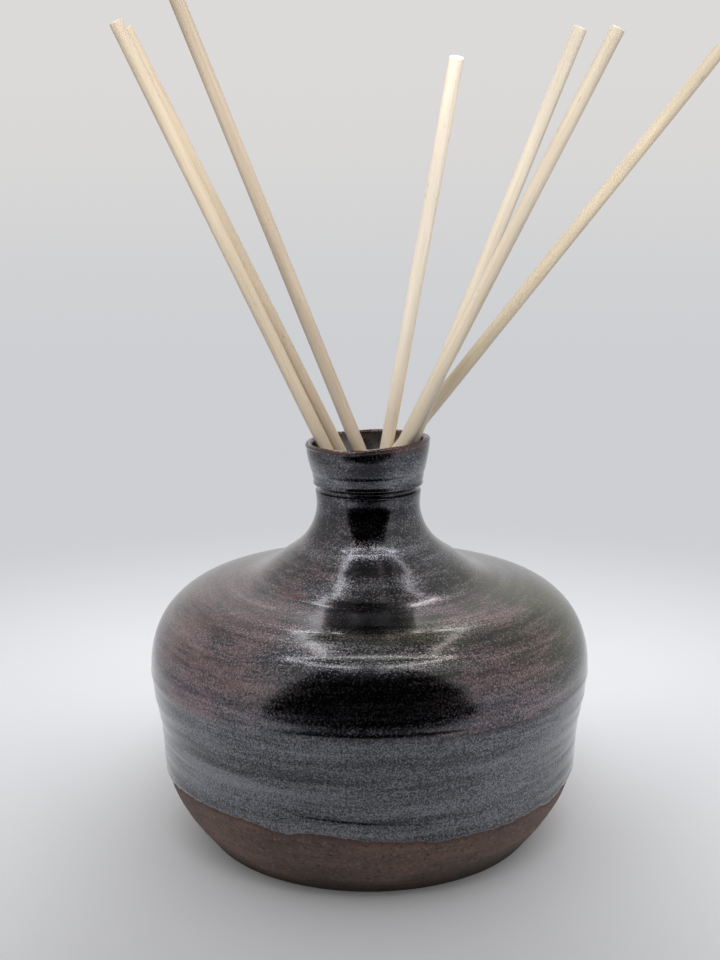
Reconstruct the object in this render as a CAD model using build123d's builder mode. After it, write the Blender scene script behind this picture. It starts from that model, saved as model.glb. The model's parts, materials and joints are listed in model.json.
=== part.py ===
from build123d import *
import os
from math import hypot

# A reed diffuser: a wheel-thrown stoneware bottle, its fill of fragrance oil, and seven loose wooden reeds.
# Millimetres, +Z up. The origin is the centre of the bottle's foot, on the surface that it stands on,
# and the bottle's front faces -Y.

# Bottle, outside
foot_diameter = 99.0
belly_diameter = 131.0
body_height = 97.0
collar_height = 21.0

# Bottle, walls
wall = 6.0
neck_wall = 3.1
lip_thickness = 2.1
floor_thickness = 7.0
floor_inset = 2.5
groove_width = 1.8
groove_depth = 0.9

# Fragrance oil
oil_level = 34.0
oil_film = 0.2

# Reeds, and the room that they have in the bottle
reed_diameter = 4.0
reed_length = 250.0
reed_edge = 0.25
reed_clearance = 0.35
throat_room = 1.35
mouth_room = 0.3
pull_out_room = 8.0

# Worked-out sizes
height = body_height + collar_height
foot_radius = foot_diameter / 2
belly_radius = belly_diameter / 2
floor_radius = foot_radius - floor_inset
reed_radius = reed_diameter / 2
reed_pitch = reed_diameter + reed_clearance
throat_height = body_height + 0.26 * collar_height


def between(low, high, share):
    """A size between two others, by its share of the way from low to high."""
    return low + (high - low) * share


# How each reed stands: the point where it passes the throat, the narrowest part of the neck, as
# (across, deep) in reed pitches from the axis, the point of the floor that it aims at, as (across, deep)
# in shares of the floor's radius, and how much shorter than the full length it was cut.
floor_reeds = {
    "reed_1": ((-1.50, 0.55), (0.80, 0.22), 0.0),
    "reed_2": ((-0.69, 1.28), (0.91, 0.26), 0.0),
    "reed_3": ((0.69, -1.93), (0.84, 0.07), 0.0),
    "reed_4": ((0.82, 1.85), (-0.26, 0.77), 23.0),
    "reed_5": ((1.61, -0.39), (-0.65, 0.09), 9.0),
    "reed_6": ((0.64, -0.91), (-0.94, 0.24), 0.0),
}

# One reed slid off the floor, and its foot is propped against the wall: higher in a tall body, lower in a
# wide one
propped_throat = (-0.27, -0.23)
propped_direction = (-0.974, -0.226)
prop_height = body_height * 0.84 - belly_radius * 0.6516
prop_radius = between(foot_radius, belly_radius, 0.90) - wall

# Each reed's line: its foot, the direction that it leans in, and its length
reed_lines = {}
for name, (passes, aims, trim) in floor_reeds.items():
    throat = Vector(passes[0] * reed_pitch, passes[1] * reed_pitch, throat_height)
    aim = Vector(aims[0] * floor_radius, aims[1] * floor_radius, floor_thickness)
    lean = (throat - aim).normalized()
    lift = reed_radius * hypot(lean.X, lean.Y) + reed_clearance
    reed_lines[name] = (aim + lean * (lift / lean.Z), lean, reed_length - trim)

foot_reach = prop_radius - reed_radius - reed_clearance
propped_foot = Vector(propped_direction[0] * foot_reach, propped_direction[1] * foot_reach, prop_height)
throat = Vector(propped_throat[0] * reed_pitch, propped_throat[1] * reed_pitch, throat_height)
reed_lines["reed_7"] = (propped_foot, (throat - propped_foot).normalized(), reed_length)


def reach(level):
    """How far from the axis the bundle of reeds comes at a level, to the outside of the farthest reed."""
    farthest = 0.0
    for foot, lean, length in reed_lines.values():
        centre = foot + lean * ((level - foot.Z) / lean.Z)
        farthest = max(farthest, hypot(centre.X, centre.Y) + reed_radius / lean.Z)
    return farthest


# The neck and the mouth are as wide as the bundle of reeds needs
bore_radius = reach(throat_height) + throat_room
neck_radius = bore_radius + neck_wall
mouth_radius = reach(height) + mouth_room
lip_radius = mouth_radius + lip_thickness


def hollow_outline(inset):
    """The inside of the wall, from the bottom of the throat down to the floor, moved in by inset."""
    under_neck = body_height * 0.90 - neck_wall
    return [
        (bore_radius - inset, throat_height - collar_height * 0.2),
        (reach(under_neck) + throat_room, under_neck),
        (between(neck_radius, belly_radius, 0.35), body_height * 0.81 - wall * 1.1),
        (between(neck_radius, belly_radius, 0.65), body_height * 0.775 - wall * 1.1),
        (belly_radius - wall - inset, body_height * 0.53),
        (prop_radius - inset, prop_height),
        (between(foot_radius, belly_radius, 0.70) - wall - inset, body_height * 0.21),
        (floor_radius - inset, floor_thickness + inset),
    ]


down_the_bore = (0, -1)
into_the_floor = (-0.8, -1)

# The bottle is one piece of clay, turned about the axis: foot, heel, belly, shoulder, neck and collar
with BuildPart() as bottle:
    with BuildSketch(Plane.XZ):
        with BuildLine():
            body = Spline(
                (foot_radius, 0),
                (between(foot_radius, belly_radius, 0.44), body_height * 0.093),
                (between(foot_radius, belly_radius, 0.76), body_height * 0.21),
                (between(foot_radius, belly_radius, 0.82), body_height * 0.33),
                (between(foot_radius, belly_radius, 0.94), body_height * 0.44),
                (belly_radius, body_height * 0.55),
                (between(neck_radius, belly_radius, 0.93), body_height * 0.673),
                (between(neck_radius, belly_radius, 0.855), body_height * 0.72),
                (between(neck_radius, belly_radius, 0.70), body_height * 0.768),
                (between(neck_radius, belly_radius, 0.36), body_height * 0.81),
                (between(neck_radius, belly_radius, 0.22), body_height * 0.86),
                (between(neck_radius, belly_radius, 0.11), body_height * 0.90),
                (between(neck_radius, belly_radius, 0.035), body_height * 0.95),
                (neck_radius, body_height * 1.03),
            )
            collar = Spline(
                body @ 1,
                (between(neck_radius, lip_radius, 0.5), body_height + collar_height * 0.56),
                (lip_radius, height - lip_thickness / 2),
                tangents=[body % 1, (0, 1)],
            )
            lip = ThreePointArc(
                collar @ 1,
                (lip_radius - lip_thickness / 2, height),
                (mouth_radius, height - lip_thickness / 2),
            )
            mouth = Spline(
                lip @ 1,
                (between(bore_radius, mouth_radius, 0.4), body_height + collar_height * 0.62),
                (bore_radius, throat_height + collar_height * 0.15),
                tangents=[down_the_bore, down_the_bore],
            )
            bore = Line(mouth @ 1, hollow_outline(0)[0])
            hollow = Spline(hollow_outline(0), tangents=[down_the_bore, into_the_floor])
            floor = Line(hollow @ 1, (0, floor_thickness))
            axis = Line(floor @ 1, (0, 0))
            foot_face = Line(axis @ 1, body @ 0)
        make_face()
    revolve(axis=Axis.Z)
    with BuildSketch(Plane.XZ):
        with Locations((neck_radius + groove_width / 2 - groove_depth, body_height * 1.075)):
            Circle(groove_width / 2)
    revolve(axis=Axis.Z, mode=Mode.SUBTRACT)
bottle.part.label = "bottle"

# The reeds are straight round rods with a broken edge at each end
reeds = {}
for name, (foot, lean, length) in reed_lines.items():
    with BuildPart(Plane(origin=foot, z_dir=lean)) as reed:
        Cylinder(reed_radius, length, align=(Align.CENTER, Align.CENTER, Align.MIN))
        chamfer(reed.edges().filter_by(GeomType.CIRCLE), reed_edge)
    reed.part.label = name
    reeds[name] = reed

# The oil fills the hollow to its level, and each reed that stands in it has its own round pocket
with BuildPart() as fragrance_oil:
    with BuildSketch(Plane.XZ):
        with BuildLine():
            wetted = Spline(hollow_outline(oil_film), tangents=[down_the_bore, into_the_floor])
            bottom = Line(wetted @ 1, (0, floor_thickness + oil_film))
            centre = Line(bottom @ 1, (0, throat_height - collar_height * 0.2))
            top = Line(centre @ 1, wetted @ 0)
        make_face()
    revolve(axis=Axis.Z)
    split(bisect_by=Plane.XY.offset(oil_level), keep=Keep.BOTTOM)
    for foot, lean, length in reed_lines.values():
        pocket_foot = foot - lean * (reed_clearance + oil_film)
        with Locations(Location(Plane(origin=pocket_foot, z_dir=lean))):
            Cylinder(
                reed_radius + reed_clearance,
                length,
                align=(Align.CENTER, Align.CENTER, Align.MIN),
                mode=Mode.SUBTRACT,
            )
fragrance_oil.part.label = "fragrance_oil"

os.makedirs("parts", exist_ok=True)
export_step(bottle.part, "parts/bottle.step")
export_step(fragrance_oil.part, "parts/fragrance_oil.step")
for name, reed in reeds.items():
    export_step(reed.part, f"parts/{name}.step")

print("bore, neck, mouth, lip radius", bore_radius, neck_radius, mouth_radius, lip_radius)
for name, (foot, lean, length) in reed_lines.items():
    travel = (height - foot.Z) / lean.Z + pull_out_room
    print(name, "slides along", tuple(lean), "by", travel, "foot", tuple(foot), "length", length)
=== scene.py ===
"""The looks of a reed diffuser: a glazed stoneware bottle, its oil and seven wooden reeds, in metres.

The bottle is turned again, ring by ring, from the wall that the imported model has, with the marks that the
potter's hands and the glaze left on it. Each reed is a grained wooden rod on the line of its own joint.
"""
import json
import math

import bpy
import numpy as np
from mathutils import Matrix, Vector, noise
from mathutils.bvhtree import BVHTree


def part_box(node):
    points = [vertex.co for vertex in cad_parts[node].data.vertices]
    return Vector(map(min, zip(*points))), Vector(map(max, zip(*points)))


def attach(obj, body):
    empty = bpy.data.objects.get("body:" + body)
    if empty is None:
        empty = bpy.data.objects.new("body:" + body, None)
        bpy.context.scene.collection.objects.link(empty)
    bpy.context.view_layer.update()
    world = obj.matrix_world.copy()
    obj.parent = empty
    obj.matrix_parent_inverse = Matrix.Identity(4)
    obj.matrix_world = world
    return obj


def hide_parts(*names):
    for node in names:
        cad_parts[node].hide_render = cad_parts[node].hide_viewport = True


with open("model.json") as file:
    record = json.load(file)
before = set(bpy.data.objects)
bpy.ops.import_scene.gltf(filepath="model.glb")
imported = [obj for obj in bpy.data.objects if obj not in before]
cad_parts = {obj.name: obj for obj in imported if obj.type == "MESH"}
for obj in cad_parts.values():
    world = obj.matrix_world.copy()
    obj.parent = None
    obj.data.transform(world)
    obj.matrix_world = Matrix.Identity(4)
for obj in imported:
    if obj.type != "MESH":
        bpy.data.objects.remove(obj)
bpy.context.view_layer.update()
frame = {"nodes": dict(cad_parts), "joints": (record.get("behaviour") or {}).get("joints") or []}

MM = 0.001
scene = bpy.context.scene

bottle_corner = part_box("bottle")[1]
BOTTLE_HEIGHT = bottle_corner.z
BELLY_RADIUS = bottle_corner.x


# ---------------------------------------------------------------- camera

CAMERA_PITCH = 11.76
CAMERA_ROLL = 0.41
CAMERA_LENS = 52.5
CAMERA_SENSOR = 36.0

# From the middle of the bottle's foot, in heights of the bottle
CAMERA_PLACE = (-0.0196, -3.425, 1.6085)


def make_camera():
    """The camera stands above the bottle's mouth and looks slightly down at it."""
    pitch = math.radians(CAMERA_PITCH)
    roll = math.radians(CAMERA_ROLL)
    level = Vector((1, 0, 0))
    above = Vector((0, math.sin(pitch), math.cos(pitch)))
    ahead = Vector((0, math.cos(pitch), -math.sin(pitch)))
    right = level * math.cos(roll) - above * math.sin(roll)
    up = level * math.sin(roll) + above * math.cos(roll)
    data = bpy.data.cameras.new("camera")
    data.sensor_width = CAMERA_SENSOR
    data.lens = CAMERA_LENS
    data.clip_start = 0.01
    data.clip_end = 50.0
    camera = bpy.data.objects.new("camera", data)
    scene.collection.objects.link(camera)
    turn = Matrix((right, up, -ahead)).transposed()
    place = Vector(CAMERA_PLACE) * BOTTLE_HEIGHT
    camera.matrix_world = Matrix.Translation(place) @ turn.to_4x4()
    scene.camera = camera


# ---------------------------------------------------------------- shader nodes

def add(tree, kind, settings=None, **inputs):
    """Adds a shader node. Each input is a value or another node's output, and _ stands for a space."""
    made = tree.nodes.new("ShaderNode" + kind)
    for name, value in (settings or {}).items():
        setattr(made, name, value)
    for name, value in inputs.items():
        put(tree, made.inputs[name.replace("_", " ")], value)
    return made


def put(tree, socket, value):
    """Links a socket to a node's output, or sets it to a value."""
    if isinstance(value, bpy.types.NodeSocket):
        tree.links.new(value, socket)
    else:
        socket.default_value = value


def calc(tree, operation, *values):
    """A sum on numbers."""
    made = add(tree, "Math", {"operation": operation})
    for socket, value in zip(made.inputs, values):
        put(tree, socket, value)
    return made.outputs[0]


def move(tree, operation, *values):
    """A sum on vectors."""
    made = add(tree, "VectorMath", {"operation": operation})
    for socket, value in zip(made.inputs, values):
        put(tree, socket, value)
    return made.outputs[0]


def object_place(tree):
    """Where the shaded point is on its object, in metres."""
    return add(tree, "TexCoord").outputs["Object"]


def carried(tree, name, output="Fac"):
    """A value that the mesh carries at each of its points."""
    return add(tree, "Attribute", {"attribute_name": name}).outputs[output]


def grain(tree, place, scale, detail=2.0, roughness=0.5, distortion=0.0):
    """Soft noise from 0 to 1."""
    made = add(tree, "TexNoise", Vector=place, Scale=scale, Detail=detail, Roughness=roughness,
               Distortion=distortion)
    return made.outputs["Fac"]


def spread(tree, value, low, high, to_low=0.0, to_high=1.0):
    """Takes low to high smoothly to to_low to to_high, and holds it beyond them."""
    made = add(tree, "MapRange", {"interpolation_type": "SMOOTHSTEP"}, Value=value, From_Min=low,
               From_Max=high, To_Min=to_low, To_Max=to_high)
    return made.outputs[0]


def tint(tree, share, first, second):
    """A colour between two others."""
    made = add(tree, "Mix", {"data_type": "RGBA"})
    put(tree, made.inputs[0], share)
    for socket, colour in zip(made.inputs[6:8], (first, second)):
        put(tree, socket, colour if isinstance(colour, bpy.types.NodeSocket) else (*colour, 1.0))
    return made.outputs[2]


def bump(tree, height, depth, below=None):
    """Raises the surface by height times depth, in metres, on top of another bump's normal."""
    made = add(tree, "Bump", Height=height, Distance=depth, Strength=1.0)
    if below is not None:
        put(tree, made.inputs["Normal"], below)
    return made.outputs[0]


def new_material(name):
    """An empty material, its tree and its output node."""
    material = bpy.data.materials.new(name)
    material.use_nodes = True
    tree = material.node_tree
    tree.nodes.clear()
    return material, tree, add(tree, "OutputMaterial")


def scaled(colour, share):
    """A colour made darker or lighter."""
    return tuple(part * share for part in colour)


def show(tree, output, shader):
    """Makes the shader what the material shows."""
    tree.links.new(shader.outputs[0], output.inputs["Surface"])


# ---------------------------------------------------------------- glaze and clay

CHARCOAL = (0.032, 0.032, 0.037)
SILVER = (0.225, 0.230, 0.255)
MAUVE = (0.215, 0.150, 0.160)
RUST = (0.150, 0.062, 0.048)
OLIVE = (0.108, 0.112, 0.072)
LIP_BROWN = (0.105, 0.056, 0.050)
EDGE_GREY = (0.240, 0.235, 0.265)

# Where the glaze turned mauve and olive: the angle round the bottle in degrees, the height and the size
MAUVE_PATCHES = [(-150, 66 * MM, 84 * MM), (-50, 68 * MM, 52 * MM)]
OLIVE_PATCHES = [(-18, 74 * MM, 60 * MM), (-80, 86 * MM, 44 * MM)]

CLAY_DARK = (0.105, 0.070, 0.060)
CLAY_PALE = (0.185, 0.122, 0.098)
CLAY_LINE = (0.070, 0.048, 0.042)
CLAY_FLASH = (0.085, 0.040, 0.036)
GROG_PALE = (0.260, 0.190, 0.140)
GROG_DARK = (0.030, 0.022, 0.020)
# The foot's darkening: partly dirt, partly painted shade where the bottle stands on the table
FOOT_DIRT_AND_SHADE = (0.036, 0.032, 0.026)


def turned_place(tree, around, along):
    """A place on the turned surface: around is steps per radian, along is steps per metre up the wall."""
    flat = move(tree, "MULTIPLY", object_place(tree), (1.0, 1.0, 0.0))
    out = move(tree, "MULTIPLY", move(tree, "NORMALIZE", flat), (around, around, 0.0))
    rise = add(tree, "CombineXYZ", Z=calc(tree, "MULTIPLY", carried(tree, "along"), along)).outputs[0]
    return move(tree, "ADD", out, rise)


def turned_grain(tree, around, along, detail, roughness, distortion=0.0):
    """Soft noise that follows the throwing marks round the bottle."""
    return grain(tree, turned_place(tree, around, along), 1.0, detail, roughness, distortion)


def patch(tree, angle, height, size):
    """1 at a place on the wall, which is named by its angle and its height, and 0 beyond its size."""
    turn = math.radians(angle)
    reach = BELLY_RADIUS * 0.85
    centre = (math.cos(turn) * reach, math.sin(turn) * reach, height)
    away = add(tree, "VectorMath", {"operation": "DISTANCE"})
    put(tree, away.inputs[0], object_place(tree))
    put(tree, away.inputs[1], centre)
    return spread(tree, away.outputs["Value"], 0.0, size, 1.0, 0.0)


def most(tree, *values):
    """The greatest of several numbers."""
    greatest = values[0]
    for value in values[1:]:
        greatest = calc(tree, "MAXIMUM", greatest, value)
    return greatest


def product(tree, *values):
    """Several numbers multiplied."""
    result = values[0]
    for value in values[1:]:
        result = calc(tree, "MULTIPLY", result, value)
    return result


def weigh(tree, *pairs):
    """Noises weighed against each other: pairs of a noise and its weight, with 0 as the middle."""
    total = 0.0
    for value, weight in pairs:
        total = calc(tree, "MULTIPLY_ADD", calc(tree, "SUBTRACT", value, 0.5), weight, total)
    return total


def glaze_material():
    """A dark metallic satin glaze: charcoal with silver specks, mauve, rust and olive where it breaks."""
    material, tree, output = new_material("dark_glaze")
    here = object_place(tree)
    height = add(tree, "SeparateXYZ", Vector=here).outputs["Z"]
    over = carried(tree, "over_line")
    lip = carried(tree, "lip")
    inside = carried(tree, "inside")

    # Specks as fine as dust, and streaks, bands and clouds that follow the throwing lines
    speck = grain(tree, here, 1900.0, 3.0, 0.8)
    hair = turned_grain(tree, 9.0, 1700.0, 2.0, 0.6)
    streak = turned_grain(tree, 2.6, 620.0, 3.0, 0.6)
    band = turned_grain(tree, 0.8, 190.0, 2.0, 0.5)
    cloud = turned_grain(tree, 2.6, 62.0, 4.0, 0.6, 0.5)
    lower = spread(tree, height, 48.5 * MM, 51 * MM, 1.0, 0.0)
    upper = calc(tree, "SUBTRACT", 1.0, lower)

    # Silver lies thick in the lower belly, thinner on the shoulder, and thinnest on the neck and collar. The
    # inside is mostly silver
    mix = weigh(tree, (speck, 5.0), (hair, 0.7), (streak, 0.9), (band, 2.0), (cloud, 0.7))
    silver = calc(tree, "ADD", mix, spread(tree, lower, 0.0, 1.0, 0.32, 0.43))
    silver = calc(tree, "SUBTRACT", silver, spread(tree, height, 84 * MM, 98 * MM, 0.0, 0.16))
    silver = most(tree, spread(tree, silver, -0.25, 1.25), product(tree, inside, 0.8))
    colour = tint(tree, silver, CHARCOAL, SILVER)

    # Broad patches where the glaze turned mauve and olive, broken up by the same streaks, and rust in streaks
    # of its own above the ridge
    broken = weigh(tree, (cloud, 2.6), (streak, 1.6), (hair, 1.2), (speck, 1.6))
    warm = most(tree, *(patch(tree, *place) for place in MAUVE_PATCHES))
    mauve = product(tree, spread(tree, calc(tree, "ADD", broken, warm), 0.25, 1.05), upper, warm)
    mauve_glaze = tint(tree, silver, scaled(MAUVE, 0.45), scaled(MAUVE, 1.5))
    colour = tint(tree, product(tree, mauve, 0.95), colour, mauve_glaze)
    rust = weigh(tree, (turned_grain(tree, 4.0, 300.0, 4.0, 0.6), 5.0), (speck, 1.5))
    rust = product(tree, spread(tree, rust, 0.55, 1.1), upper, 0.4)
    colour = tint(tree, rust, colour, RUST)
    green = most(tree, *(patch(tree, *place) for place in OLIVE_PATCHES))
    olive = product(tree, spread(tree, calc(tree, "SUBTRACT", green, broken), 0.15, 0.95), upper, green)
    olive_glaze = tint(tree, silver, scaled(OLIVE, 0.35), scaled(OLIVE, 1.5))
    colour = tint(tree, olive, colour, olive_glaze)

    # The glaze runs thin over the edge of the lip, and pale where it ends above the bare foot
    worn = product(tree, lip, spread(tree, grain(tree, here, 700.0, 3.0), 0.30, 0.55))
    colour = tint(tree, worn, colour, LIP_BROWN)
    ending = product(tree, spread(tree, over, 0.0, 1.3 * MM, 1.0, 0.0), spread(tree, speck, 0.35, 0.6))
    colour = tint(tree, product(tree, ending, 0.7), colour, EDGE_GREY)

    rough = calc(tree, "MULTIPLY_ADD", silver, 0.17, 0.13)
    rough = calc(tree, "MULTIPLY_ADD", worn, 0.15, rough)
    dimple = bump(tree, grain(tree, here, 420.0, 2.0), 12e-6)
    lines = bump(tree, hair, 8e-6, dimple)
    normal = bump(tree, speck, 12e-6, lines)
    metal = calc(tree, "SUBTRACT", 1.0, product(tree, silver, lower, 0.4))
    shader = add(tree, "BsdfPrincipled", Base_Color=colour, Metallic=metal, Roughness=rough, Normal=normal,
                 Coat_Weight=0.35, Coat_Roughness=0.08)
    show(tree, output, shader)
    return material


def clay_material():
    """Bare red-brown stoneware: grog, pin holes, turning lines, and darkening at the foot that is partly dirt
    and partly painted shade.
    """
    material, tree, output = new_material("bare_clay")
    here = object_place(tree)
    height = add(tree, "SeparateXYZ", Vector=here).outputs["Z"]
    over = carried(tree, "over_line")

    cloud = turned_grain(tree, 2.5, 140.0, 4.0, 0.6)
    lines = turned_grain(tree, 1.6, 1500.0, 3.0, 0.6)
    grit = grain(tree, here, 950.0, 4.0, 0.7)
    colour = tint(tree, spread(tree, cloud, 0.35, 0.65), CLAY_DARK, CLAY_PALE)
    colour = tint(tree, spread(tree, lines, 0.45, 0.65, 0.0, 0.35), colour, CLAY_LINE)
    colour = tint(tree, spread(tree, grit, 0.56, 0.66, 0.0, 0.7), colour, GROG_PALE)
    colour = tint(tree, spread(tree, grit, 0.44, 0.34, 0.0, 0.8), colour, GROG_DARK)
    # Darker towards the table: partly dirt on the foot, partly painted contact shade
    foot = calc(tree, "ADD", height, calc(tree, "MULTIPLY", calc(tree, "SUBTRACT", cloud, 0.5), 9 * MM))
    colour = tint(tree, spread(tree, foot, 1 * MM, 8 * MM, 0.75, 0.0), colour, FOOT_DIRT_AND_SHADE)
    flash = calc(tree, "MULTIPLY", spread(tree, over, -2.2 * MM, 0.0), 0.6)
    colour = tint(tree, flash, colour, CLAY_FLASH)

    holes = grain(tree, here, 620.0, 1.0)
    raised = bump(tree, grit, 150e-6)
    raised = bump(tree, spread(tree, holes, 0.26, 0.38), 220e-6, raised)
    raised = bump(tree, lines, 60e-6, raised)
    shader = add(tree, "BsdfPrincipled", Base_Color=colour, Metallic=0.0, Normal=raised,
                 Roughness=spread(tree, cloud, 0.3, 0.7, 0.62, 0.85), Specular_IOR_Level=0.35)
    show(tree, output, shader)
    return material


# ---------------------------------------------------------------- the turned bottle

SEGMENTS = 576
RING_STEP = 0.45 * MM
INNER_RING_STEP = 1.2 * MM
UNDERSIDE_RINGS = 22
HEEL_RINGS = 6
LIP_RINGS = 12
FLOOR_RINGS = 20
HEEL_RADIUS = 0.9 * MM
LIP_HALF = 1.05 * MM

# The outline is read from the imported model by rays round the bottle, down to just above the hollow's floor
RAYS = 24
RISE = 0.2 * MM
DESCENT = 0.4 * MM
HOLLOW_FLOOR = 7.3 * MM
FACET_BLUR = 0.35 * MM

# Heights above the table
GLAZE_LINE = 20.0 * MM
CLIMB_HEIGHT = 25.4 * MM
LINE_HEIGHT = 32.5 * MM
RIDGE_HEIGHT = 50.2 * MM
GROOVE_HEIGHT = 104.9 * MM
COLLAR_LINE_HEIGHT = 108.3 * MM

# From one throwing mark to the next
SPIRAL_PITCH = 5.2 * MM
INNER_PITCH = 4.1 * MM
WIRE_PITCH = 0.55 * MM

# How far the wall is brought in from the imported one, and how far the clay lies below the glaze
WALL_SET_BACK = 0.34 * MM
CLAY_SET_BACK = 0.32 * MM


def smooth(value, low, high):
    """0 below low, 1 above high, and a soft step between."""
    share = np.clip((value - low) / (high - low), 0.0, 1.0)
    return share * share * (3.0 - 2.0 * share)


def hump(value, centre, width):
    """1 at centre, falling softly to nothing about two widths away."""
    return np.exp(-((value - centre) / width) ** 2)


def wall_radii(tree, heights, from_axis):
    """The bottle's radius at each height, outside or inside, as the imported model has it."""
    reach = BELLY_RADIUS * 1.5
    angles = np.linspace(0.0, 2 * math.pi, RAYS, endpoint=False)
    radii = []
    for height in heights:
        farthest = 0.0
        for angle in angles:
            out = Vector((math.cos(angle), math.sin(angle), 0.0))
            start = Vector((0.0, 0.0, height)) + (Vector() if from_axis else out * reach)
            hit = tree.ray_cast(start, out if from_axis else -out)[0]
            if hit is not None:
                farthest = max(farthest, math.hypot(hit.x, hit.y))
        radii.append(farthest)
    return np.array(radii)


def evenly(radii, heights, step):
    """The same line as points that are step apart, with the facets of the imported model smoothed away."""
    run = np.concatenate([[0.0], np.cumsum(np.hypot(np.diff(radii), np.diff(heights)))])
    count = max(4, int(run[-1] / step) + 1)
    fine = np.linspace(0.0, run[-1], count * 6)
    blur = FACET_BLUR / (fine[1] - fine[0])
    reach = int(3 * blur)
    weights = np.exp(-0.5 * (np.arange(-reach, reach + 1) / blur) ** 2)
    weights /= weights.sum()
    smoothed = []
    for values in (radii, heights):
        line = np.interp(fine, run, values)
        ends = np.concatenate([2 * line[0] - line[reach:0:-1], line, 2 * line[-1] - line[-2:-reach - 2:-1]])
        smoothed.append(np.convolve(ends, weights, "valid"))
    picked = np.linspace(0, len(fine) - 1, count).astype(int)
    return smoothed[0][picked], smoothed[1][picked]


def bottle_outline():
    """The wall's outline as rings: radius, height, and the zone of the bottle that the ring is in."""
    tree = BVHTree.FromObject(frame["nodes"]["bottle"], bpy.context.evaluated_depsgraph_get())
    high = BOTTLE_HEIGHT - LIP_HALF
    up = np.arange(HEEL_RADIUS, high, RISE)
    outside = evenly(wall_radii(tree, up, from_axis=False), up, RING_STEP)
    down = np.arange(high, HOLLOW_FLOOR, -DESCENT)
    inside = evenly(wall_radii(tree, down, from_axis=True), down, INNER_RING_STEP)

    rings = []
    flat_edge = outside[0][0] - HEEL_RADIUS
    for radius in np.linspace(0.0, flat_edge, UNDERSIDE_RINGS)[1:]:
        rings.append((radius, 0.0, "under"))
    for turn in np.linspace(0.0, math.pi / 2, HEEL_RINGS)[1:-1]:
        radius = flat_edge + HEEL_RADIUS * math.sin(turn)
        rings.append((radius, HEEL_RADIUS - HEEL_RADIUS * math.cos(turn), "out"))
    for radius, height in zip(*outside):
        rings.append((radius, height, "out"))
    lip_centre = (outside[0][-1] + inside[0][0]) / 2
    lip_width = (outside[0][-1] - inside[0][0]) / 2
    for turn in np.linspace(0.0, math.pi, LIP_RINGS)[1:-1]:
        rings.append((lip_centre + lip_width * math.cos(turn), high + LIP_HALF * math.sin(turn), "lip"))
    for radius, height in zip(*inside):
        rings.append((radius, height, "in"))
    for radius in np.linspace(inside[0][-1], 0.0, FLOOR_RINGS)[1:-1]:
        rings.append((radius, inside[1][-1], "in"))
    return rings


def glaze_line(angle):
    """How high the glaze ends above the table, round the bottle: a slow wave, runs and a ragged edge."""
    slow = 1.2 * math.cos(angle - math.radians(-150)) + 0.5 * math.cos(3 * angle + 0.4)
    around = Vector((math.cos(angle), math.sin(angle), 0.0))
    runs = 1.6 * noise.noise(around * 4.5 + Vector((0, 0, 3.7)))
    ragged = 0.75 * noise.noise(around * 15.0) + 0.45 * noise.noise(around * 48.0)
    return GLAZE_LINE + (slow + runs + ragged) * MM


def outside_marks(angles, along, along_here, z, over):
    """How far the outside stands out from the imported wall: the potter's marks and the edge of the glaze."""
    # The wall isn't quite round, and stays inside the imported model's
    middle = smooth(z, 5 * MM, 40 * MM)
    uneven = 0.16 * np.cos(2 * angles + 0.9) + 0.10 * np.cos(3 * angles - 0.5)
    push = middle * (MM * uneven - WALL_SET_BACK)

    # Throwing marks: a slow spiral of finger grooves, with finer lines inside it
    wander = ring_noise(angles, along, 1.6, 38.0, 11.0)
    fine = ring_noise(angles, along, 1.1, 620.0, 4.0)
    finer = ring_noise(angles, along, 1.8, 1250.0, 8.0)
    spiral = np.sin(2 * math.pi * along_here / SPIRAL_PITCH + angles[None, :] + 5.0 * wander)
    belly = smooth(over, 0.5 * MM, 4 * MM) * (1.0 - smooth(z, 44 * MM, 50 * MM))
    shoulder = smooth(z, 62 * MM, 68 * MM) * (1.0 - smooth(z, 88 * MM, 98 * MM))
    push += MM * spiral * (0.085 * belly + 0.010 * shoulder)
    push += MM * (0.10 * fine + 0.05 * finer) * (0.06 + 0.35 * belly + 0.05 * shoulder)

    # The ridge round the belly, the cove under it, and two lines lower down, one of them climbing
    ridge = RIDGE_HEIGHT + 0.5 * MM * np.cos(angles + 2.2)[None, :] + 0.5 * MM * wander
    push += MM * (0.14 * hump(z, ridge, 0.9 * MM) - 0.07 * hump(z, ridge - 2.4 * MM, 1.6 * MM))
    low_line = LINE_HEIGHT + 0.4 * MM * wander
    push += MM * (0.16 * hump(z, low_line, 0.6 * MM) - 0.10 * hump(z, low_line - MM, 0.6 * MM))
    climb = CLIMB_HEIGHT - 4.0 * MM * (angles[None, :] + math.pi / 2)
    climb_end = smooth(angles, -2.9, -2.4) * (1.0 - smooth(angles, -1.3, -0.8))
    push += MM * 0.15 * hump(z, climb, 0.6 * MM) * climb_end[None, :]

    # The glaze partly fills the cut groove, and there is a faint line above it in the collar
    push += MM * 0.60 * hump(z, GROOVE_HEIGHT, 0.6 * MM)
    push -= MM * 0.10 * hump(z, COLLAR_LINE_HEIGHT, 0.5 * MM)

    # The glaze lies thick on the gritty clay and rolls over at its lower edge
    bead = 0.20 * MM * hump(over, 1.0 * MM, 0.8 * MM)
    push += bead - CLAY_SET_BACK * (1.0 - smooth(over, -0.05 * MM, 0.45 * MM))
    grit = ring_noise(angles, along, 38.0, 620.0, 21.0)
    push += 0.13 * MM * grit * (1.0 - smooth(over, -0.3 * MM, 0.2 * MM)) * smooth(z, 0.0, 2 * MM)
    return push


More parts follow.
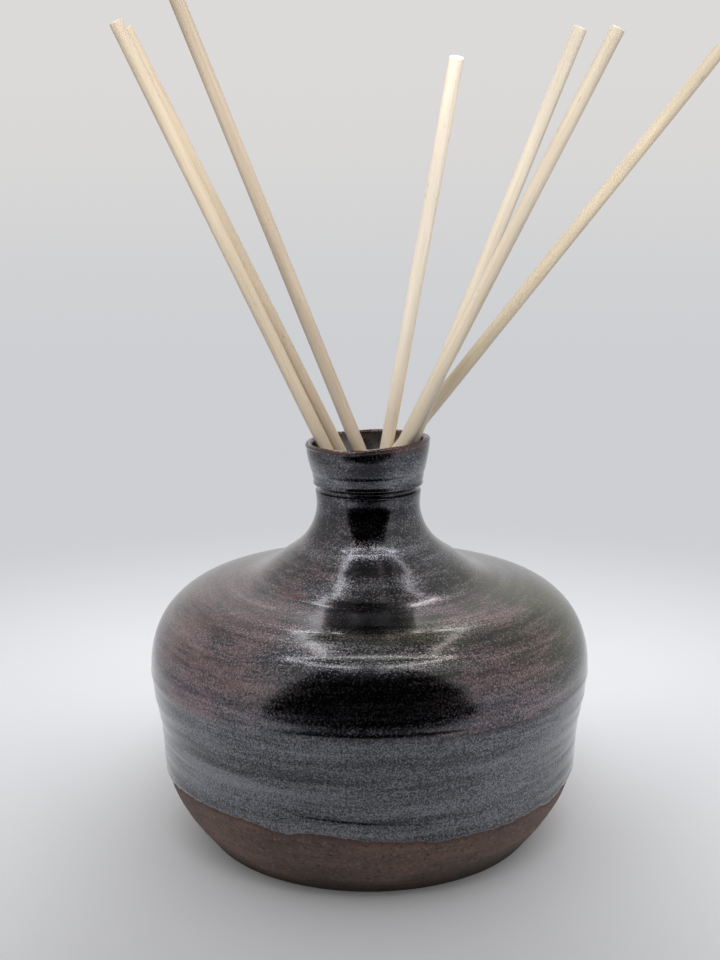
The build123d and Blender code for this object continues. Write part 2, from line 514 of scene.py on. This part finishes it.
def hidden_marks(zone, angles, along, along_here, r):
    """How far the inside stands out, in throwing rings, and the underside, in the swirl of a cutting wire."""
    inside = zone == "in"
    rings = inside[:, None] * smooth(along_here - along[inside][0], 0.0, 8 * MM)
    push = rings * 0.12 * MM * np.sin(2 * math.pi * along[:, None] / INNER_PITCH + angles[None, :])
    under = (zone == "under")[:, None] * (1.0 - smooth(r, 44 * MM, 48 * MM))
    swirl = np.sin(r * np.sin(angles - 0.6)[None, :] / WIRE_PITCH + (r / (14 * MM)) ** 2)
    return push - under * MM * (0.14 + 0.10 * swirl)


def build_bottle(materials):
    """The bottle's mesh: rings round the axis, moved by the potter's marks, closed at both ends."""
    rings = bottle_outline()
    radius = np.array([ring[0] for ring in rings])
    height = np.array([ring[1] for ring in rings])
    zone = np.array([ring[2] for ring in rings])
    out = zone == "out"
    angles = np.linspace(-math.pi, math.pi, SEGMENTS, endpoint=False)

    # How far along the outline each ring is, and the way that the wall faces there
    along = np.concatenate([[0.0], np.cumsum(np.hypot(np.diff(radius), np.diff(height)))])
    slope_r = np.gradient(radius, along)
    slope_z = np.gradient(height, along)
    steep = np.hypot(slope_r, slope_z)
    face_r = slope_z / steep
    face_z = -slope_r / steep

    # One ring of points follows the edge of the glaze
    line = np.array([glaze_line(angle) for angle in angles])
    at_line = np.argmin(np.abs(np.where(out, height, 1.0) - GLAZE_LINE))
    near = np.where(out, hump(height, height[at_line], 7 * MM), 0.0)
    z = height[:, None] + near[:, None] * (line[None, :] - height[at_line])
    along_here = np.where(out[:, None], np.interp(z, height[out], along[out]), along[:, None])
    r = np.where((out & (near > 1e-4))[:, None], np.interp(z, height[out], radius[out]), radius[:, None])
    over = z - line[None, :]

    push = out[:, None] * outside_marks(angles, along, along_here, z, over)
    push += hidden_marks(zone, angles, along, along_here, r)
    r = r + push * face_r[:, None]
    z = z + push * face_z[:, None]

    # The rim is a little higher on one side, and its edge isn't even
    near_rim = smooth(z, 106 * MM, 117 * MM)
    rim = 0.75 * np.cos(angles) + 0.18 * np.cos(2 * angles + 1.0) + 0.10 * np.cos(5 * angles)
    z = z + near_rim * rim[None, :] * MM
    lip = (zone == "lip")[:, None].astype(float)
    z = z - lip * 0.16 * MM * np.abs(ring_noise(angles, along, 24.0, 500.0, 31.0))

    points = np.stack([r * np.cos(angles)[None, :], r * np.sin(angles)[None, :], z], axis=-1)
    return ring_mesh("stoneware_bottle", points, at_line, materials, {
        "along": along_here,
        "over_line": over,
        "lip": np.maximum(lip, hump(z, BOTTLE_HEIGHT, 1.6 * MM) * near_rim),
        "inside": (zone == "in")[:, None] * np.ones_like(z),
    })


def ring_noise(angles, along, around, per_metre, seed):
    """Noise from -1 to 1 on the turned surface, which joins up with itself all the way round."""
    values = np.empty((len(along), len(angles)))
    circle = [Vector((math.cos(angle) * around, math.sin(angle) * around, seed)) for angle in angles]
    for row, run in enumerate(along):
        rise = Vector((0.0, 0.0, run * per_metre))
        values[row] = [noise.noise(point + rise) for point in circle]
    return values


def ring_mesh(name, points, glazed_from, materials, attributes):
    """A closed mesh from rings of points, with its first and last rings drawn together to a middle point.

    Faces below the ring glazed_from, and the first cap, have the second material.
    """
    count, around = points.shape[:2]
    flat = points.reshape(-1, 3)
    first, last = points[0].mean(axis=0), points[-1].mean(axis=0)
    vertices = np.concatenate([flat, [first, last]])
    low = np.arange(around)
    high = (low + 1) % around
    faces = []
    for ring in range(count - 1):
        this = ring * around
        above = this + around
        faces.extend(zip(this + low, this + high, above + high, above + low))
    top = (count - 1) * around
    caps = [(len(flat), right, left) for left, right in zip(low, high)]
    caps += [(len(flat) + 1, left, right) for left, right in zip(top + low, top + high)]
    mesh = bpy.data.meshes.new(name)
    mesh.from_pydata(vertices.tolist(), [], [tuple(map(int, face)) for face in faces + caps])
    for material in materials:
        mesh.materials.append(material)
    slots = np.zeros(len(mesh.polygons), np.int32)
    slots[:glazed_from * around] = 1
    slots[len(faces):len(faces) + around] = 1
    mesh.polygons.foreach_set("material_index", slots)
    mesh.polygons.foreach_set("use_smooth", np.ones(len(mesh.polygons), bool))
    for label, values in attributes.items():
        table = values.reshape(count * around, -1)
        middles = [table[:around].mean(axis=0), table[-around:].mean(axis=0)]
        table = np.concatenate([table, middles]).astype(np.float32)
        kind, field = ("FLOAT_VECTOR", "vector") if table.shape[1] == 3 else ("FLOAT", "value")
        layer = mesh.attributes.new(label, kind, "POINT")
        layer.data.foreach_set(field, table.ravel())
    mesh.update()
    piece = bpy.data.objects.new(name, mesh)
    scene.collection.objects.link(piece)
    return piece


# ---------------------------------------------------------------- reeds

REED_SIDES = 32
REED_STATIONS = 110
REED_EDGE = 0.25 * MM
SEED_STEP = 1.7
WOOD_FLECK = (0.30, 0.21, 0.14)
# Each reed's colour is partly its own tone and partly painted light: some reeds are made paler and others
# darker for the light and shade that fall on them
REED_TINTS_WITH_PAINTED_LIGHT = {
    "reed_1": (0.72, 0.61, 0.46),
    "reed_2": (0.69, 0.58, 0.44),
    "reed_3": (0.56, 0.46, 0.35),
    "reed_4": (0.97, 0.86, 0.71),
    "reed_5": (0.74, 0.66, 0.54),
    "reed_6": (0.74, 0.64, 0.50),
    "reed_7": (0.74, 0.63, 0.47),
}


def reed_material(name, wood, seed):
    """Pale wood with long fine grain, slightly greyer and darker in slow bands, pored at its cut ends."""
    material, tree, output = new_material(name)
    here = carried(tree, "rod", "Vector")
    shifted = move(tree, "ADD", here, (seed * 0.037, seed * 0.011, seed * 0.073))
    fibres = grain(tree, move(tree, "MULTIPLY", shifted, (2600.0, 2600.0, 38.0)), 1.0, 3.0, 0.6)
    bands = grain(tree, move(tree, "MULTIPLY", shifted, (260.0, 260.0, 22.0)), 1.0, 3.0, 0.5)
    colour = tint(tree, spread(tree, bands, 0.32, 0.68), scaled(wood, 0.86), wood)
    darker = tuple(part * share for part, share in zip(wood, (0.74, 0.66, 0.58)))
    colour = tint(tree, spread(tree, fibres, 0.52, 0.70, 0.0, 0.55), colour, darker)
    fleck = grain(tree, move(tree, "MULTIPLY", shifted, (1500.0, 1500.0, 260.0)), 1.0, 1.0)
    colour = tint(tree, spread(tree, fleck, 0.73, 0.80, 0.0, 0.5), colour, WOOD_FLECK)
    pores = grain(tree, here, 3600.0, 1.0)
    paler = tuple(min(1.0, part) for part in scaled(wood, 1.12))
    pored = tint(tree, spread(tree, pores, 0.56, 0.68), paler, darker)
    colour = tint(tree, carried(tree, "cut_end"), colour, pored)
    raised = bump(tree, fibres, 45e-6)
    raised = bump(tree, bands, 60e-6, raised)
    shader = add(tree, "BsdfPrincipled", Base_Color=colour, Metallic=0.0, Normal=raised,
                 Roughness=spread(tree, fibres, 0.3, 0.7, 0.48, 0.66), Specular_IOR_Level=0.4)
    show(tree, output, shader)
    return material


def reed_line(name):
    """A reed's foot, its direction and its length and radius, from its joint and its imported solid."""
    joint = next(joint for joint in frame["joints"] if joint["child"] == name)
    lean = Vector(joint["axis"]).normalized()
    corners = np.array([tuple(vertex.co) for vertex in frame["nodes"][name].data.vertices])
    middle = Vector(corners.mean(axis=0))
    offsets = corners - np.array(middle)
    reach = offsets @ np.array(lean)
    away = offsets - np.outer(reach, np.array(lean))
    centre = middle + lean * float(reach.min() + reach.max()) / 2
    length = float(reach.max() - reach.min())
    radius = float(np.linalg.norm(away, axis=1).max())
    return centre - lean * length / 2, lean, length, radius


def build_reed(name, seed):
    """A wooden rod: slightly fluted, a little uneven along its length, with broken edges at its cut ends."""
    foot, lean, length, radius = reed_line(name)
    sides = np.linspace(0.0, 2 * math.pi, REED_SIDES, endpoint=False)
    levels = [0.0, 0.0, 0.0, REED_EDGE * 0.4, REED_EDGE]
    widths = [0.45, 0.70, 0.85, 0.92, 0.98]
    stations = np.linspace(REED_EDGE * 2, length - REED_EDGE * 2, REED_STATIONS)
    levels = levels + list(stations) + [length - level for level in reversed(levels)]
    widths = widths + [1.0] * len(stations) + list(reversed(widths))
    rings = []
    ends = []
    for level, width in zip(levels, widths):
        at_end = level < REED_EDGE * 0.9 or level > length - REED_EDGE * 0.9
        inward = 1.0 if level < length / 2 else -1.0
        ring = []
        for side in sides:
            flute = 0.012 * math.cos(9 * side + seed) + 0.008 * math.cos(5 * side + 2.3 * seed)
            place = Vector((math.cos(side) * 1.2, math.sin(side) * 1.2, level * 42.0 + seed * 9.1))
            uneven = 0.030 * noise.noise(place)
            size = radius * width * (0.952 + flute + uneven)
            rough = 0.07 * MM * noise.noise(Vector((math.cos(side), math.sin(side), 0)) * width * 4 + place)
            lift = abs(rough) * inward if at_end and width < 0.95 else 0.0
            ring.append((math.cos(side) * size, math.sin(side) * size, level + lift))
        rings.append(ring)
        ends.append([1.0 if at_end else 0.0] * REED_SIDES)
    # The tint carries painted light and shade as well as the reed's own tone
    wood = reed_material(name + "_wood", REED_TINTS_WITH_PAINTED_LIGHT[name], seed)
    rod = np.array(rings)
    turn = np.array(lean.to_track_quat("Z", "Y").to_matrix())
    points = rod @ turn.T + np.array(foot)
    return ring_mesh("wooden_" + name, points, 0, [wood, wood], {"rod": rod, "cut_end": np.array(ends)})


# ---------------------------------------------------------------- oil

OIL_DEEP = (0.86, 0.62, 0.24)
OIL_PALE = (0.93, 0.74, 0.38)


def oil_material():
    """A clear pale amber oil, a little cloudier in slow swirls."""
    material, tree, output = new_material("fragrance_oil")
    here = object_place(tree)
    swirl = grain(tree, here, 45.0, 2.0, 0.5, 0.8)
    colour = tint(tree, spread(tree, swirl, 0.35, 0.65), OIL_DEEP, OIL_PALE)
    normal = bump(tree, grain(tree, here, 60.0, 1.0), 40e-6)
    shader = add(tree, "BsdfPrincipled", Base_Color=colour, Metallic=0.0, Normal=normal,
                 Roughness=spread(tree, swirl, 0.3, 0.7, 0.03, 0.07), IOR=1.46, Transmission_Weight=0.9)
    show(tree, output, shader)
    return material


# ---------------------------------------------------------------- floor and light

# The world's colours, from low in the picture to high
BACKDROP_LOW = (0.640, 0.648, 0.662)
BACKDROP_MIDDLE = (0.610, 0.620, 0.642)
BACKDROP_HIGH = (0.715, 0.703, 0.690)
FLOOR_WHITE = (0.92, 0.94, 0.98)
FLOOR_REACH = 0.55

# The light box over the bottle, in metres: its sides, its ends, and how high its light hangs
BOX_LEFT = -0.10
BOX_RIGHT = 0.14
BOX_NEAR = -0.095
BOX_FAR = 0.22
BOX_TOP = 0.40
STRIP_REACH = 0.21
STRIP_WIDTH = 0.011
PANEL_GAP = 0.001

# The box bulges towards the camera, in four straight strips
FRONT_BEND = [
    (-STRIP_REACH, BOX_NEAR),
    (-0.125, -0.185),
    (0.0, -0.222),
    (0.125, -0.185),
    (STRIP_REACH, BOX_NEAR),
]

# A panel behind the box, as its left, right, near and far sides
BACK_PANEL = (-0.07, 0.06, BOX_FAR, 0.85)

# The dark opening that the camera looks in through, as places across and up, and the shade that stands in it
FRONT = -0.215
OPENING = [(-0.26, 0.001), (0.26, 0.001), (0.17, 0.215), (0.13, BOX_TOP), (-0.13, BOX_TOP), (-0.16, 0.235)]
SHADE_REACH = 0.11
SHADE_LOW = 0.02
SHADE_HIGH = 0.30


def flat_sheet(name, corners, material, mirrored=True, shading=False):
    """A flat piece of the studio: shiny surfaces mirror it, or it shades the rest, or both."""
    mesh = bpy.data.meshes.new(name)
    mesh.from_pydata([tuple(corner) for corner in corners], [], [tuple(range(len(corners)))])
    mesh.materials.append(material)
    sheet = bpy.data.objects.new(name, mesh)
    scene.collection.objects.link(sheet)
    sheet.visible_camera = False
    sheet.visible_glossy = mirrored
    sheet.visible_diffuse = shading
    sheet.visible_shadow = shading
    return sheet


def level_corners(left, right, near, far, height):
    """The corners of a level rectangle."""
    return [(left, near, height), (right, near, height), (right, far, height), (left, far, height)]


def glowing(name, strength):
    """A white surface that gives light, or a black one where strength is 0."""
    material, tree, output = new_material(name)
    shader = add(tree, "Emission", Color=(1.0, 1.0, 1.0, 1.0), Strength=strength)
    show(tree, output, shader)
    return material


def strip(name, start, end, width, material):
    """A straight strip of light, facing down."""
    start, end = Vector(start), Vector(end)
    side = (end - start).normalized().cross(Vector((0, 0, 1))) * width / 2
    return flat_sheet(name, [start - side, end - side, end + side, start + side], material)


def build_world():
    """A pale world that stands in for the photograph's backdrop and fills the shadows."""
    world = bpy.data.worlds.new("studio")
    scene.world = world
    world.use_nodes = True
    tree = world.node_tree
    tree.nodes.clear()
    output = add(tree, "OutputWorld")
    rise = add(tree, "SeparateXYZ", Vector=add(tree, "TexCoord").outputs["Generated"]).outputs["Z"]
    upper = spread(tree, rise, -0.14, 0.10)
    lower = spread(tree, rise, -0.20, -0.42)
    colour = tint(tree, upper, BACKDROP_MIDDLE, BACKDROP_HIGH)
    colour = tint(tree, lower, colour, BACKDROP_LOW)
    background = add(tree, "Background", Color=colour, Strength=1.0)
    tree.links.new(background.outputs[0], output.inputs["Surface"])


def build_floor():
    """A pale matt floor that fades into the world away from the bottle."""
    material, tree, output = new_material("pale_floor")
    away = add(tree, "VectorMath", {"operation": "LENGTH"})
    put(tree, away.inputs[0], object_place(tree))
    fade = spread(tree, away.outputs["Value"], 0.13, 0.40)
    matt = add(tree, "BsdfDiffuse", Color=(*FLOOR_WHITE, 1.0))
    clear = add(tree, "BsdfTransparent")
    mixed = add(tree, "MixShader", Fac=fade)
    tree.links.new(matt.outputs[0], mixed.inputs[1])
    tree.links.new(clear.outputs[0], mixed.inputs[2])
    show(tree, output, mixed)
    corners = level_corners(-FLOOR_REACH, FLOOR_REACH, -FLOOR_REACH, FLOOR_REACH, 0)
    floor = flat_sheet("floor", corners, material, shading=True)
    floor.visible_camera = True


def add_lamp(name, kind, place, aim_height, settings):
    """A lamp that points at a height on the bottle's axis, and that shiny surfaces don't mirror."""
    data = bpy.data.lights.new(name, kind)
    for setting, value in settings.items():
        setattr(data, setting, value)
    lamp = bpy.data.objects.new(name, data)
    scene.collection.objects.link(lamp)
    place = Vector(place)
    turn = (place - Vector((0, 0, aim_height))).to_track_quat("Z", "Y")
    lamp.matrix_world = Matrix.Translation(place) @ turn.to_matrix().to_4x4()
    lamp.visible_glossy = False
    lamp.visible_camera = False


def build_light_box():
    """Strips and panels of light over the bottle, which its glaze mirrors, and a dark opening in front."""
    # The opening is only mirrored, and the shade only keeps light off what lies behind it
    dark = glowing("dark_opening", 0.0)
    flat_sheet("front_shade", [(-SHADE_REACH, FRONT, SHADE_LOW), (SHADE_REACH, FRONT, SHADE_LOW),
                               (SHADE_REACH, FRONT, SHADE_HIGH), (-SHADE_REACH, FRONT, SHADE_HIGH)],
               dark, mirrored=False, shading=True)
    flat_sheet("front_opening", [(across, FRONT, height) for across, height in OPENING], dark)

    light = glowing("light_strip", 11.0)
    grey = glowing("grey_panel", 0.22)
    near_left = (BOX_LEFT, BOX_NEAR, BOX_TOP)
    near_right = (BOX_RIGHT, BOX_NEAR, BOX_TOP)
    far_left = (BOX_LEFT, BOX_FAR, BOX_TOP)
    far_right = (BOX_RIGHT, BOX_FAR, BOX_TOP)
    strip("strip_front", (-STRIP_REACH, BOX_NEAR, BOX_TOP), (STRIP_REACH, BOX_NEAR, BOX_TOP),
          STRIP_WIDTH * 0.8, light)
    strip("strip_left", near_left, far_left, STRIP_WIDTH * 2.4, glowing("left_glow", 5.0))
    strip("strip_right", near_right, far_right, STRIP_WIDTH * 1.6, glowing("right_glow", 4.0))
    flat_sheet("back_panel", level_corners(*BACK_PANEL, BOX_TOP + PANEL_GAP), glowing("back_glow", 2.0))
    strip("strip_back", far_left, far_right, STRIP_WIDTH * 2.0, light)
    over_strips = BOX_TOP + 2 * PANEL_GAP
    flat_sheet("top_window", level_corners(BOX_LEFT, BOX_RIGHT, BOX_NEAR, BOX_FAR, over_strips),
               glowing("top_window", 0.17))
    for number, (start, end) in enumerate(zip(FRONT_BEND, FRONT_BEND[1:])):
        strip(f"strip_bend_{number}", (*start, BOX_TOP), (*end, BOX_TOP), STRIP_WIDTH, light)
    flat_sheet("front_panel", [(*point, over_strips) for point in FRONT_BEND], grey)


# ---------------------------------------------------------------- the whole scene

make_camera()
scene.view_settings.view_transform = "Standard"
build_world()
build_floor()
add_lamp("soft_front", "AREA", (0.05, -0.75, 0.85), 0.1, {"shape": "DISK", "size": 0.7, "energy": 5.0})

# A small lamp on the reeds, which fades out over the neck and the shoulder
add_lamp("reed_lamp", "SPOT", (0.0, -0.24, 0.36), 0.19, {
    "energy": 2.4,
    "spot_size": math.radians(44),
    "spot_blend": 0.8,
    "shadow_soft_size": 0.05,
})
build_light_box()

bottle = build_bottle([glaze_material(), clay_material()])
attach(bottle, "bottle")
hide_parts("bottle")

frame["nodes"]["fragrance_oil"].data.materials.clear()
frame["nodes"]["fragrance_oil"].data.materials.append(oil_material())

for number, name in enumerate(REED_TINTS_WITH_PAINTED_LIGHT, 1):
    reed = build_reed(name, number * SEED_STEP)
    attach(reed, name)
    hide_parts(name)
